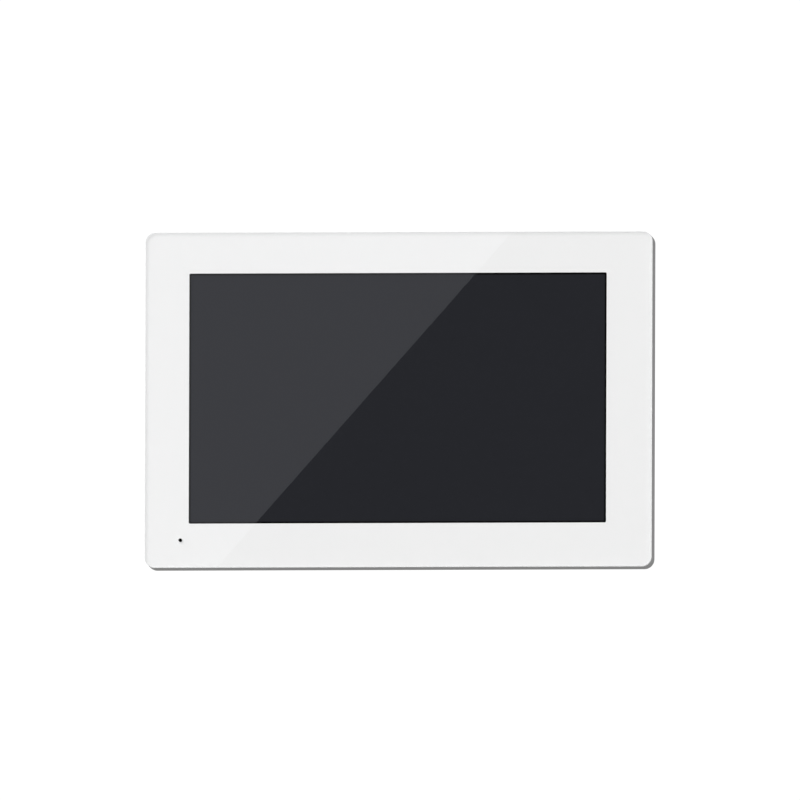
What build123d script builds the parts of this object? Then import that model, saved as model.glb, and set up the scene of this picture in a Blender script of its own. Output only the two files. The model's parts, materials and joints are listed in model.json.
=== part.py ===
"""Wall-mounted 7 inch video intercom monitor, hung on a stamped steel wall bracket.

Frame: millimetres, +X to the right and +Z up as the user sees the screen, +Y into the wall.
The origin is on the bracket's wall face, half way between its two 60 mm wall-box slots.
Every sub-part is written to parts/NODE.step.
"""

import math
import os

from build123d import *

# ---------------------------------------------------------------- driving dimensions
WIDTH, HEIGHT, DEPTH = 187.0, 123.6, 22.0  # front face, and wall to front face
CORNER_R = 3.7  # outline corners of the front half
WINDOW_AT = (-0.42, 0.66)  # centre of the clear window on the front face (x, z)
ACTIVE_W, ACTIVE_H = 152.4, 91.44  # 7.0 inch 5:3 display, active area
KEYLINE_W = 0.7  # black line printed round the window
MIC_AT = (-80.4, -51.6)  # microphone hole (x, z)
MIC_HOLE_R = 0.65

# Thicknesses, from the front face backwards
GLASS_T = 1.8
PRINT_GAP, PRINT_T = 0.02, 0.12
LIP_GAP = 0.06  # between the print and the front case's lip
TAPE_T = 0.5
FACE_T = 1.6  # front case's face plate behind the tape
TOUCH_T = 0.7
GASKET_T = 0.46
LCD_W, LCD_H, LCD_T = 164.0, 99.0, 5.5
CHASSIS_T = 0.8
STANDOFF_T = 1.0
BOARD_T = 1.6
WALL = 2.0  # both plastic shells

# Planes across Y
Y_FRONT = -DEPTH
Y_GLASS_BACK = Y_FRONT + GLASS_T
Y_PRINT_FRONT = Y_GLASS_BACK + PRINT_GAP
Y_PRINT_BACK = Y_PRINT_FRONT + PRINT_T
Y_LIP = Y_PRINT_BACK + LIP_GAP
Y_SEAT = Y_PRINT_BACK + TAPE_T
Y_FACE_BACK = Y_SEAT + FACE_T
Y_TOUCH_BACK = Y_PRINT_BACK + TOUCH_T
Y_LCD_FRONT = Y_TOUCH_BACK + GASKET_T
Y_LCD_BACK = Y_LCD_FRONT + LCD_T
Y_CHASSIS_BACK = Y_LCD_BACK + CHASSIS_T
Y_BOARD_FRONT = Y_CHASSIS_BACK + STANDOFF_T
Y_BOARD_BACK = Y_BOARD_FRONT + BOARD_T
Y_SEAM = -12.4  # front case meets rear cover
Y_SKIRT_BACK = -6.4  # back edge of the straight sides
Y_COVER_BACK = -2.0
Y_COVER_INNER = Y_COVER_BACK - WALL
Y_POCKET = -4.2  # floor of the bracket pocket
Y_POCKET_INNER = Y_POCKET - WALL
Y_BOSS_END = Y_LCD_BACK  # where the front case's screw bosses stop
Y_CASE_SCREW_SEAT = Y_SKIRT_BACK - 2.6

# Rear cover box and bracket pocket
BOX_INSET = 7.0  # box edge inside the front outline
BOX_R = 6.0
BOX_DRAFT = 4.0  # degrees
BOX_W, BOX_H = WIDTH - 2 * BOX_INSET, HEIGHT - 2 * BOX_INSET
Y_BOX_FOOT = Y_SKIRT_BACK - 0.5
SKIRT_INNER = (WIDTH - 6.7, HEIGHT - 6.7)
NOTCH_X, NOTCH_Z, Y_NOTCH = -86.5, (-29.0, 25.0), -10.4  # side notch for the card and controls
POCKET_W, POCKET_Z = 112.0, (-44.0, 40.0)

# Wall bracket
BRACKET_T = 1.2
BRACKET_W, BRACKET_Z = 108.0, (-38.0, 39.0)
HOOK_X = 44.0
HOOK_TOPS = (24.0, -16.0)  # z of the hook legs' upper faces
HOOK_W, HOOK_TIP = 9.0, 3.6
LIFT = 5.5  # upward travel that frees the monitor
WALL_BOX_PITCH, WALL_SLOT_L, WALL_SLOT_W = 60.0, 9.0, 4.4
PLUG_PITCH_X, PLUG_PITCH_Z, PLUG_HOLE_R = 98.0, 66.0, 2.2
CABLE_WINDOW_W, CABLE_WINDOW_Z = 72.0, (-34.0, -7.0)

# Screws: (shank radius, head radius)
CASE_SCREW_R, CASE_HEAD_R = 1.1, 2.15
CHASSIS_SCREW_R, CHASSIS_HEAD_R = 1.2, 2.5
BOARD_SCREW_R, BOARD_HEAD_R = 1.2, 2.2
CASE_SCREWS_AT = [(x, z) for x in (-87.9, 87.9) for z in (-56.4, 56.4)]
CASE_SCREWS_AT += [(0.0, -58.0), (0.0, 58.0)]
CHASSIS_SCREWS_AT = [(x, z) for x in (-87.0, 87.0) for z in (-25.0, 25.0)]

# Main board
BOARD_X, BOARD_Z = (-83.4, 52.0), (-44.0, 44.0)
BOARD_SCREWS_AT = [(x, z) for x in (-74.0, 47.5) for z in (-40.0, 40.0)]

# Rear sockets: a row of wire-to-board headers
SOCKET_ROW_Z = -20.0
SOCKET_H, SOCKET_D, SOCKET_WALL = 7.0, 5.75, 0.8
PIN_PITCH, PIN_SIDE = 2.5, 0.64
SOCKET_GAP = 2.0

# Side controls on the left wall
CARD_Z, RESET_Z, POWER_Z = 16.0, -4.0, -22.0
CARD_L, CARD_W, CARD_T = 15.0, 11.0, 0.7
POWER_TRAVEL = 2.0

# Speaker, a racetrack driver behind the rear grille
SPEAKER_X = 70.0
SPEAKER_W, SPEAKER_L = 20.0, 40.0


# ---------------------------------------------------------------- shape helpers
def across(y):
    """Sketch plane at depth y: local x is X, local y is Z, and its normal faces the viewer."""
    return Plane.XZ.offset(-y)


def slab(w, h, y0, y1, r=0.0, at=(0.0, 0.0)):
    """Plate of width w and height h from y0 to y1, with corner radius r."""
    outline = RectangleRounded(w, h, r) if r else Rectangle(w, h)
    return extrude(across(y1) * Pos(at[0], at[1]) * outline, y1 - y0)


def frame_slab(outer, inner, y0, y1, r_out=0.0, r_in=0.0, at=(0.0, 0.0), at_in=None):
    """Plate with a rectangular window; outer and inner are (w, h)."""
    hole = slab(*inner, y0 - 1, y1 + 1, r_in, at if at_in is None else at_in)
    return slab(*outer, y0, y1, r_out, at) - hole


def rod(r, y0, y1, at):
    """Cylinder along Y."""
    return extrude(across(y1) * Pos(at[0], at[1]) * Circle(r), y1 - y0)


def rod_x(r, x0, x1, y, z):
    """Cylinder along X."""
    return Pos(x0, y, z) * extrude(Plane.YZ * Circle(r), x1 - x0)


def block(x, y, z):
    """Box from three (low, high) pairs."""
    low_high = (x, y, z)
    middle = [(a + b) / 2 for a, b in low_high]
    return Pos(*middle) * Box(*[b - a for a, b in low_high])


def about(middle, size):
    """(low, high) of a length centred on middle."""
    return middle - size / 2, middle + size / 2


def row(count, pitch, middle=0.0):
    """Evenly spaced positions, centred on middle."""
    return [middle + pitch * (i - (count - 1) / 2) for i in range(count)]


def edges_at(part, y):
    """Edges of a part that lie wholly in the plane at depth y."""
    return [e for e in part.edges() if abs(e.bounding_box().min.Y - y) < 1e-4
            and abs(e.bounding_box().max.Y - y) < 1e-4]


def screw(at, y_seat, shank_r, head_r, head_t, length, drive_r=0.9):
    """Pan-head screw that goes in from the back, its head seated at y_seat."""
    shank = rod(shank_r, y_seat - length, y_seat, at)
    head = rod(head_r, y_seat, y_seat + head_t, at)
    head = fillet(edges_at(head, y_seat + head_t), min(0.35, head_t / 2))
    drive_depth = min(0.8, head_t * 0.6)
    y_drive = (y_seat + head_t - drive_depth, y_seat + head_t + 1)
    for w, h in ((2 * drive_r, 0.5), (0.5, 2 * drive_r)):
        head -= slab(w, h, *y_drive, at=at)
    return shank + head


def bend_radii(points):
    """The largest even arc at each corner: 0.45 of the shorter run, over the half turn's tangent."""
    radii = []
    for a, b, c in zip(points, points[1:], points[2:]):
        before, after = Vector(*b) - Vector(*a), Vector(*c) - Vector(*b)
        half_turn = math.radians(before.get_angle(after)) / 2
        radii.append(0.45 * min(before.length, after.length) / math.tan(half_turn))
    return radii


def wire(points, r):
    """Round lead along straight runs joined by arcs."""
    path = FilletPolyline(*points, radius=bend_radii(points))
    section = Plane(origin=path @ 0, z_dir=path % 0) * Circle(r)
    return sweep(section, path)


def ribbon(points, radii, x, thickness):
    """Flat flex of constant section that follows (y, z) points, between two x values."""
    path = FilletPolyline(*[(0, y, z) for y, z in points], radius=radii)
    side = Plane(origin=path @ 0, x_dir=(1, 0, 0), z_dir=path % 0)
    section = side * Pos((x[0] + x[1]) / 2, 0) * Rectangle(x[1] - x[0], thickness)
    return sweep(section, path)


# ---------------------------------------------------------------- front glass and its prints
WINDOW_W = ACTIVE_W + 0.14 + 2 * KEYLINE_W
WINDOW_H = ACTIVE_H - 0.58 + 2 * KEYLINE_W


def cover_glass():
    glass = slab(WIDTH, HEIGHT, Y_FRONT, Y_GLASS_BACK, CORNER_R)
    glass = chamfer(edges_at(glass, Y_FRONT), 0.2)
    return glass - rod(MIC_HOLE_R, Y_FRONT - 1, Y_GLASS_BACK + 1, MIC_AT)


def white_border_print():
    ring = frame_slab((WIDTH - 0.1, HEIGHT - 0.1), (WINDOW_W, WINDOW_H),
                      Y_PRINT_FRONT, Y_PRINT_BACK, CORNER_R - 0.05, 0.5, at_in=WINDOW_AT)
    return ring - rod(MIC_HOLE_R + 0.02, Y_PRINT_FRONT - 1, Y_PRINT_BACK + 1, MIC_AT)


def black_keyline_print():
    inner = (WINDOW_W - 2 * KEYLINE_W, WINDOW_H - 2 * KEYLINE_W)
    return frame_slab((WINDOW_W, WINDOW_H), inner, Y_PRINT_FRONT, Y_PRINT_BACK,
                      0.5, 0.3, at=WINDOW_AT)


def touch_sensor():
    return slab(158.4, 97.0, Y_PRINT_BACK, Y_TOUCH_BACK, 0.5, WINDOW_AT)


# ---------------------------------------------------------------- display module
LCD_AT = (WINDOW_AT[0], WINDOW_AT[1] - 0.55)  # the module's border is wider at the bottom
LCD_SHEET = 0.3
LCD_BOTTOM = LCD_AT[1] - LCD_H / 2
LCD_FLEX_X, TOUCH_FLEX_X = (-23.0, 3.0), (24.0, 36.0)
Y_CELL = (Y_LCD_FRONT + LCD_SHEET + 0.05, Y_LCD_FRONT + 1.65)
Y_GUIDE = (Y_CELL[1] + 0.05, Y_CELL[1] + 2.75)
Y_LCD_TRAIL = Y_GUIDE[0] + 1.2  # where the flex leaves through the bezel's lower wall
Y_FLEX_END, FLEX_T = Y_BOARD_BACK + 0.8, 0.14
FLEX_SOCKET_Z = (-41.6, -38.0)


def lcd_bezel():
    """Folded steel frame round the display, open at the back."""
    shell = slab(LCD_W, LCD_H, Y_LCD_FRONT, Y_LCD_BACK - 0.4, 0.6, LCD_AT)
    shell -= slab(LCD_W - 2 * LCD_SHEET, LCD_H - 2 * LCD_SHEET,
                  Y_LCD_FRONT + LCD_SHEET, Y_LCD_BACK + 1, 0.3, LCD_AT)
    shell -= slab(ACTIVE_W + 2.2, ACTIVE_H + 1.8, Y_LCD_FRONT - 1, Y_LCD_FRONT + 1, 0.4, WINDOW_AT)
    x0, x1 = LCD_FLEX_X
    return shell - block((x0 - 0.6, x1 + 0.6), about(Y_LCD_TRAIL, 1.0),
                         (LCD_BOTTOM - 1, LCD_BOTTOM + 1))


def lcd_glass_cell():
    return slab(LCD_W - 2.4, LCD_H - 2.4, *Y_CELL, 0.4, LCD_AT)


def lcd_backlight_tray():
    """White moulded tray that holds the light guide; its floor is the module's back."""
    size = (LCD_W - 0.8, LCD_H - 0.8)
    tray = slab(*size, Y_CELL[1] + 0.05, Y_LCD_BACK, 0.3, LCD_AT)
    tray -= slab(size[0] - 4, size[1] - 4, Y_CELL[1] - 1, Y_GUIDE[1] + 0.05, 0.3, LCD_AT)
    x0, x1 = LCD_FLEX_X
    return tray - block((x0 - 0.6, x1 + 0.6), about(Y_LCD_TRAIL, 1.0),
                        (LCD_BOTTOM - 1, LCD_BOTTOM + 3))


def lcd_light_guide():
    w, h = LCD_W - 5.4, LCD_H - 9.0
    return slab(w, h, *Y_GUIDE, 0.3, (LCD_AT[0], LCD_AT[1] + 1.8))


def lcd_led_strip():
    """Flexible strip with a row of side-firing LEDs along the light guide's lower edge."""
    z0 = LCD_BOTTOM + 2.7
    strip = block(about(LCD_AT[0], 150.0), (Y_GUIDE[0] + 1.9, Y_GUIDE[1]), (z0, z0 + 3.0))
    leds = [block(about(LCD_AT[0] + x, 3.4), (Y_GUIDE[0] + 0.7, Y_GUIDE[0] + 1.9), (z0 + 1.6, z0 + 2.8))
            for x in row(24, 6.1)]
    return strip + leds


def lcd_flex():
    z_in = LCD_BOTTOM + 0.9
    points = [(Y_LCD_TRAIL, z_in), (Y_LCD_TRAIL, LCD_BOTTOM - 1.1),
              (Y_FLEX_END, LCD_BOTTOM - 1.1), (Y_FLEX_END, FLEX_SOCKET_Z[0])]
    return ribbon(points, [0.9, 1.6], LCD_FLEX_X, FLEX_T)


def touch_flex():
    y_tail = Y_TOUCH_BACK + FLEX_T / 2
    z_drop = LCD_BOTTOM - 2.0
    points = [(y_tail, WINDOW_AT[1] - 46.0), (y_tail, z_drop),
              (Y_FLEX_END, z_drop), (Y_FLEX_END, FLEX_SOCKET_Z[0])]
    return ribbon(points, [1.0, 1.6], TOUCH_FLEX_X, FLEX_T)


def lcd_foam_gasket():
    ring = frame_slab((157.6, 96.2), (ACTIVE_W + 2.4, ACTIVE_H + 2.0),
                      Y_TOUCH_BACK, Y_LCD_FRONT, 0.5, 0.5, at=WINDOW_AT)
    x0, x1 = TOUCH_FLEX_X
    return ring - block((x0 - 0.5, x1 + 0.5), (Y_TOUCH_BACK - 1, Y_LCD_FRONT + 1), (-52, -43))


# ---------------------------------------------------------------- front case
LIP_W = 1.6
OPENING = (LCD_W + 0.6, LCD_H + 0.5)
MIC_NOSE_R = 1.5
MIC_BOOT_MIDDLE = (MIC_AT[0], -54.5)
MIC_CAPSULE_AT = (MIC_AT[0], -55.4)


def front_case():
    """Moulded tray behind the glass: face plate, side walls and screw bosses."""
    case = slab(WIDTH, HEIGHT, Y_LIP, Y_SEAM, CORNER_R)
    case = chamfer(edges_at(case, Y_LIP) + edges_at(case, Y_SEAM), 0.25)
    inner = (WIDTH - 2 * WALL, HEIGHT - 2 * WALL)
    case -= slab(*inner, Y_FACE_BACK, Y_SEAM + 1, CORNER_R - WALL)
    case -= slab(WIDTH - 2 * LIP_W, HEIGHT - 2 * LIP_W, Y_LIP - 1, Y_SEAT, CORNER_R - LIP_W)
    for at in CASE_SCREWS_AT:
        case += rod(3.0, Y_FACE_BACK, Y_BOSS_END, at) & slab(*inner, Y_FACE_BACK, Y_BOSS_END, 1.0)
        case -= rod(CASE_SCREW_R + 0.01, Y_FACE_BACK + 0.5, Y_BOSS_END + 1, at)
    for at in CHASSIS_SCREWS_AT:
        case += rod(2.7, Y_FACE_BACK, Y_BOSS_END, at)
        case -= rod(CHASSIS_SCREW_R + 0.01, Y_FACE_BACK + 0.5, Y_BOSS_END + 1, at)
    case += stiffening_ribs()
    case -= slab(*OPENING, Y_LIP - 1, Y_FACE_BACK + 2, 0.8, LCD_AT)
    x0, x1 = TOUCH_FLEX_X
    case -= block((x0 - 0.8, x1 + 0.8), (Y_LIP - 1, Y_FACE_BACK + 1), (LCD_BOTTOM - 3.0, LCD_BOTTOM + 1))
    case -= rod(MIC_NOSE_R, Y_LIP - 1, Y_FACE_BACK + 1, MIC_AT)
    return case


def stiffening_ribs():
    """Short ribs between the face plate and the side walls."""
    ribs = []
    x_wall, z_wall = WIDTH / 2 - WALL, HEIGHT / 2 - WALL
    for side in (-1, 1):
        for z in (-42.0, 0.0, 42.0):
            ribs.append(block(sorted((side * 83.6, side * (x_wall + 0.1))),
                              (Y_FACE_BACK, -15.2), about(z, 1.2)))
        for x in (-60.0, -30.0, 50.0, 72.0):
            ribs.append(block(about(x, 1.2), (Y_FACE_BACK, -15.2),
                              sorted((side * 53.2, side * (z_wall + 0.1)))))
    return ribs


def glass_tape():
    """Double-sided tape that bonds the glass to the front case."""
    ring = frame_slab((WIDTH - 2 * LIP_W - 0.6, HEIGHT - 2 * LIP_W - 0.6),
                      (OPENING[0] + 1.4, OPENING[1] + 1.4),
                      Y_PRINT_BACK, Y_SEAT, CORNER_R - LIP_W - 0.3, 1.0)
    ring -= rod(2.3, Y_PRINT_BACK - 1, Y_SEAT + 1, MIC_AT)
    x0, x1 = TOUCH_FLEX_X
    return ring - block((x0 - 0.8, x1 + 0.8), (Y_PRINT_BACK - 1, Y_SEAT + 1), (-53.0, -45.0))


# ---------------------------------------------------------------- microphone
Y_CAPSULE = (-16.5, -13.8)
Y_BOOT_BACK = -13.6


def mic_boot():
    """Rubber boot: its nose seals on the glass, and a channel leads to the capsule."""
    body = slab(7.6, 9.0, Y_FACE_BACK, Y_BOOT_BACK, 3.79, MIC_BOOT_MIDDLE)
    nose = rod(MIC_NOSE_R, Y_PRINT_BACK, Y_FACE_BACK, MIC_AT)
    boot = body + nose
    boot -= rod(MIC_HOLE_R, Y_PRINT_BACK - 1, Y_CAPSULE[0], MIC_AT)
    boot -= block(about(MIC_AT[0], 2 * MIC_HOLE_R), (Y_CAPSULE[0] - 0.8, Y_CAPSULE[0]),
                  (MIC_CAPSULE_AT[1], MIC_AT[1]))
    return boot - rod(3.02, Y_CAPSULE[0] - 0.01, Y_BOOT_BACK + 1, MIC_CAPSULE_AT)


def mic_capsule():
    can = rod(3.0, *Y_CAPSULE, MIC_CAPSULE_AT)
    return can - rod(0.5, Y_CAPSULE[0] - 1, Y_CAPSULE[0] + 0.6, MIC_CAPSULE_AT)


def mic_leads():
    """Two leads from the capsule, past the display's lower edge, to the board header."""
    x, y = MIC_CAPSULE_AT[0], Y_BOOT_BACK + 0.5
    leads = []
    for side in (-0.45, 0.45):
        points = [(x + side, y, -56.0), (x + side, y, -51.4),
                  (x + side + 1.5, -9.0, -45.4), (MIC_HEADER_X + 2.2 * side, -8.7, -42.6)]
        leads.append(wire(points, 0.38))
    return leads


# ---------------------------------------------------------------- chassis and main board
def chassis_plate():
    """Stamped plate behind the display, with ears for its screws and stand-offs for the board."""
    plate = slab(168.0, 96.6, Y_LCD_BACK, Y_CHASSIS_BACK, 2.0)
    for x, z in CHASSIS_SCREWS_AT:
        ear_x = sorted((math.copysign(80.0, x), math.copysign(90.0, x)))
        plate += block(ear_x, (Y_LCD_BACK, Y_CHASSIS_BACK), about(z, 8.0))
    for x in row(4, 34.0, -15.0):
        for z in (-24.0, 24.0):
            plate -= slab(22.0, 30.0, Y_LCD_BACK - 1, Y_CHASSIS_BACK + 1, 4.0, (x, z))
    for at in BOARD_SCREWS_AT:
        plate += rod(2.6, Y_CHASSIS_BACK, Y_BOARD_FRONT, at)
        plate -= rod(BOARD_SCREW_R + 0.01, Y_LCD_BACK - 1, Y_BOARD_FRONT + 1, at)
    for at in CHASSIS_SCREWS_AT:
        plate -= rod(CHASSIS_SCREW_R + 0.2, Y_LCD_BACK - 1, Y_CHASSIS_BACK + 1, at)
    return plate


def chassis_screws():
    return [screw(at, Y_CHASSIS_BACK, CHASSIS_SCREW_R, CHASSIS_HEAD_R, 0.6, 3.8)
            for at in CHASSIS_SCREWS_AT]


def board_screws():
    return [screw(at, Y_BOARD_BACK, BOARD_SCREW_R, BOARD_HEAD_R, 1.5, 3.2)
            for at in BOARD_SCREWS_AT]


def main_board(pins):
    board = block(BOARD_X, (Y_BOARD_FRONT, Y_BOARD_BACK), BOARD_Z)
    for at in BOARD_SCREWS_AT:
        board -= rod(BOARD_SCREW_R + 0.2, Y_BOARD_FRONT - 1, Y_BOARD_BACK + 1, at)
    return board - pins


def on_board(x, z, w, h, height, r=0.0):
    """Component body of w by h, centred at (x, z), standing on the board's back."""
    return slab(w, h, Y_BOARD_BACK, Y_BOARD_BACK + height, r, (x, z))


def processor():
    return on_board(0.0, 12.0, 15.0, 15.0, 1.2)


def processor_heatsink():
    """Finned aluminium block bonded to the processor."""
    y0 = Y_BOARD_BACK + 1.2
    sink = slab(20.0, 20.0, y0, y0 + 2.2, 0.5, (0.0, 12.0))
    for x in row(6, 3.2):
        sink -= block(about(x, 1.6), (y0 + 0.9, y0 + 3), (0.0, 24.0))
    return sink


def memory_chips():
    return [on_board(19.0, 12.0, 8.0, 12.0, 1.1), on_board(-18.5, 6.0, 6.0, 5.0, 0.9)]


def small_chips():
    """Video decoders, audio amplifier, regulators and driver packages."""
    places = [(-20.0, -4.0, 7.0, 7.0), (0.0, -6.0, 7.0, 7.0), (22.0, -5.0, 7.0, 7.0),
              (44.0, 10.0, 5.0, 6.2), (-62.0, 0.0, 5.0, 6.2), (-60.0, -34.0, 6.5, 3.4),
              (44.0, -34.0, 5.0, 4.0), (30.0, 32.0, 5.0, 4.0)]
    return [on_board(x, z, w, h, 1.0) for x, z, w, h in places]


def small_passives():
    """Rows of ceramic capacitors and resistors round the main chips."""
    found = []
    for x in row(9, 2.4):
        found += [on_board(x, 25.5, 0.9, 1.8, 0.6), on_board(x, 0.8, 0.9, 1.8, 0.6)]
    for z in row(7, 2.6, 12.0):
        found += [on_board(28.0, z, 1.8, 0.9, 0.6), on_board(-13.5, z, 1.8, 0.9, 0.5)]
    for x in row(5, 14.4, -2.4):
        found += [on_board(x, -29.0, 2.2, 1.4, 0.8), on_board(x + 4.0, -29.0, 2.2, 1.4, 0.8)]
    return found


def power_inductors():
    coils = []
    for x, z in ((-62.0, 32.0), (-62.0, -22.0), (34.0, 24.0)):
        coil = on_board(x, z, 7.0, 7.0, 3.0, 0.8)
        coils.append(coil - rod(2.4, Y_BOARD_BACK + 2.6, Y_BOARD_BACK + 4, (x, z)))
    return coils


def capacitors():
    """Surface-mount electrolytic cans on chamfered bases."""
    cans = []
    for x, z in ((-71.0, 30.0), (-62.0, 22.0), (-70.5, -31.0), (-62.0, -12.0)):
        base = on_board(x, z, 6.6, 6.6, 0.6, 0.5)
        can = rod(3.15, Y_BOARD_BACK + 0.6, Y_BOARD_BACK + 5.4, (x, z))
        cans.append(base + fillet(edges_at(can, Y_BOARD_BACK + 5.4), 0.5))
    return cans


def wifi_module():
    """Small radio board under a shielding can."""
    board = on_board(-26.0, 33.0, 12.0, 13.0, 0.8)
    can = slab(10.6, 10.0, Y_BOARD_BACK + 0.8, Y_BOARD_BACK + 2.4, 0.5, (-26.0, 32.2))
    plug = rod(0.9, Y_BOARD_BACK + 0.8, Y_BOARD_BACK + 1.9, (-30.6, 38.3))
    return board + can + plug


ANTENNA_AT = (-69.0, 47.0)


def antenna_film():
    """Stick-on antenna on the rear cover's inner face."""
    return slab(22.0, 6.0, Y_COVER_INNER - 0.25, Y_COVER_INNER, 0.6, ANTENNA_AT)


def antenna_lead():
    y_low, y_high = Y_BOARD_BACK + 1.35, Y_COVER_INNER - 0.85
    points = [(-31.55, y_low, 38.3), (-42.0, y_low, 41.0), (-51.0, -8.0, 48.2),
              (-57.5, y_high, 47.0), (-64.0, y_high, 47.0)]
    return wire(points, 0.55)


def flex_connectors():
    """Low sockets for the display flex and the touch flex."""
    z0, z1 = FLEX_SOCKET_Z
    found = []
    for x0, x1 in (LCD_FLEX_X, TOUCH_FLEX_X):
        body = block((x0 - 1.6, x1 + 1.6), (Y_BOARD_BACK, Y_BOARD_BACK + 1.3), (z0, z1))
        lever = block((x0 - 0.6, x1 + 0.6), (Y_BOARD_BACK + 1.3, Y_BOARD_BACK + 1.6), (z0 + 1.2, z1 - 0.4))
        found.append(body + lever)
    return found


MIC_HEADER_X = -80.3
LEAD_HEADER_H = 3.4
SPEAKER_HEADER_AT = (38.0, -8.0)


def lead_headers():
    """Two-pin headers for the microphone and speaker leads."""
    mic = block(about(MIC_HEADER_X, 5.0), (Y_BOARD_BACK, Y_BOARD_BACK + 2.6), (-42.2, -38.6))
    x, z = SPEAKER_HEADER_AT
    speaker = block(about(x, 4.4), (Y_BOARD_BACK, Y_BOARD_BACK + LEAD_HEADER_H), about(z, 6.0))
    return [mic, speaker]


# ---------------------------------------------------------------- rear sockets
def socket_width(ways):
    return PIN_PITCH * (ways - 1) + 4.9


def socket_places():
    """(x of the middle, number of ways) for the power socket and the four line sockets."""
    ways = [2, 4, 4, 4, 4]
    total = sum(socket_width(n) for n in ways) + SOCKET_GAP * (len(ways) - 1)
    x, places = -total / 2, []
    for n in ways:
        places.append((x + socket_width(n) / 2, n))
        x += socket_width(n) + SOCKET_GAP
    return places


def socket_pins():
    """Square posts, from their solder tails to just below the sockets' mouths."""
    posts = []
    for middle, ways in socket_places():
        for x in row(ways, PIN_PITCH, middle):
            posts.append(block(about(x, PIN_SIDE), (Y_BOARD_FRONT - 0.6, Y_BOARD_BACK + SOCKET_H - 0.9),
                               about(SOCKET_ROW_Z, PIN_SIDE)))
    return posts


def socket_housing(middle, ways, pins):
    """Shrouded header: a floor, four walls and two key slots in the upper wall."""
    w = socket_width(ways)
    y0, y1 = Y_BOARD_BACK, Y_BOARD_BACK + SOCKET_H
    housing = slab(w, SOCKET_D, y0, y1, 0.3, (middle, SOCKET_ROW_Z))
    housing -= slab(w - 2 * SOCKET_WALL, SOCKET_D - 2 * SOCKET_WALL, y0 + 2.2, y1 + 1, 0.2,
                    (middle, SOCKET_ROW_Z))
    z_wall = SOCKET_ROW_Z + SOCKET_D / 2
    for side in (-1, 1):
        x_key = middle + side * (w / 2 - 2.4)
        housing -= block(about(x_key, 1.1), (y0 + 3.0, y1 + 1), (z_wall - 1.2, z_wall + 1))
    return housing - pins


# ---------------------------------------------------------------- left-side controls
CARD_Y = (-9.35, -9.35 + CARD_T)
CARD_END_X = -85.7
CARD_SOCKET_X = (-82.4, -67.6)
SWITCH_FACE_X, FLANGE_X = -83.2, -84.0
RESET_Y, RESET_R, RESET_TRAVEL = -7.4, 1.2, 0.35
KNOB_Y, KNOB_W = (-8.1, -6.7), 2.0


def memory_card():
    """Card with its chamfered corner and thumb ridge."""
    card = block((CARD_END_X, CARD_END_X + CARD_L), CARD_Y, about(CARD_Z, CARD_W))
    card -= block((CARD_END_X + 6.4, CARD_END_X + CARD_L + 1), (CARD_Y[0] - 1, CARD_Y[1] + 1),
                  (CARD_Z + CARD_W / 2 - 1.3, CARD_Z + CARD_W))
    ridge = block((CARD_END_X, CARD_END_X + 1.2), (CARD_Y[1], CARD_Y[1] + 0.3), about(CARD_Z, 9.4))
    return card + ridge


def card_socket():
    """Pressed-metal push-push socket, open towards the left wall."""
    body = block(CARD_SOCKET_X, (Y_BOARD_BACK, Y_BOARD_BACK + 1.9), about(CARD_Z, 14.0))
    return body - block((CARD_SOCKET_X[0] - 1, CARD_SOCKET_X[1] - 1.0), (CARD_Y[0] - 0.1, CARD_Y[1] + 0.45),
                        about(CARD_Z, CARD_W + 0.3))


def reset_switch():
    body = block((SWITCH_FACE_X, -79.6), (Y_BOARD_BACK, Y_BOARD_BACK + 4.2), about(RESET_Z, 6.0))
    return body - rod_x(1.0, SWITCH_FACE_X - 1, SWITCH_FACE_X + 1.4, RESET_Y, RESET_Z)


def reset_button():
    """Plunger through the side wall, with a flange that keeps it in."""
    shaft = rod_x(RESET_R, -86.7, -83.8, RESET_Y, RESET_Z)
    flange = rod_x(2.0, FLANGE_X, SWITCH_FACE_X - RESET_TRAVEL - 0.1, RESET_Y, RESET_Z)
    stem = rod_x(0.8, -83.8, SWITCH_FACE_X + 0.6, RESET_Y, RESET_Z)
    dished = rod_x(0.7, -87.0, -86.55, RESET_Y, RESET_Z)
    return shaft + flange + stem - dished


def power_switch():
    body = block((SWITCH_FACE_X, -79.4), (Y_BOARD_BACK, Y_BOARD_BACK + 4.0), about(POWER_Z, 8.6))
    return body - block((SWITCH_FACE_X - 1, SWITCH_FACE_X + 1.0), (KNOB_Y[0] - 0.15, KNOB_Y[1] + 0.15),
                        about(POWER_Z, KNOB_W + POWER_TRAVEL + 0.6))


def power_switch_knob():
    """Ridged slider with a flange that covers the slot from inside."""
    z_rest = POWER_Z - POWER_TRAVEL / 2
    stem = block((-87.0, SWITCH_FACE_X + 0.7), KNOB_Y, about(z_rest, KNOB_W))
    for z in row(3, 0.6, z_rest):
        stem -= block((-88.0, -86.8), (KNOB_Y[0] - 1, KNOB_Y[1] + 1), about(z, 0.25))
    flange = block((FLANGE_X, -83.5), (KNOB_Y[0] - 0.7, KNOB_Y[1] + 0.7), about(z_rest, 7.4))
    return stem + flange


# ---------------------------------------------------------------- speaker
Y_SPEAKER_FRONT = Y_COVER_INNER - 0.6
SPEAKER_EAR_Z = 23.4
Y_SPEAKER_TAB, SPEAKER_TAB_Z = (Y_SPEAKER_FRONT - 3.2, Y_SPEAKER_FRONT - 2.2), -3.0


def racetrack(w, l, y0, y1):
    return slab(w, l, y0, y1, w / 2 - 0.01, (SPEAKER_X, 0.0))


def racetrack_face(w, l, y):
    return across(y) * Pos(SPEAKER_X, 0.0) * RectangleRounded(w, l, w / 2 - 0.01)


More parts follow.
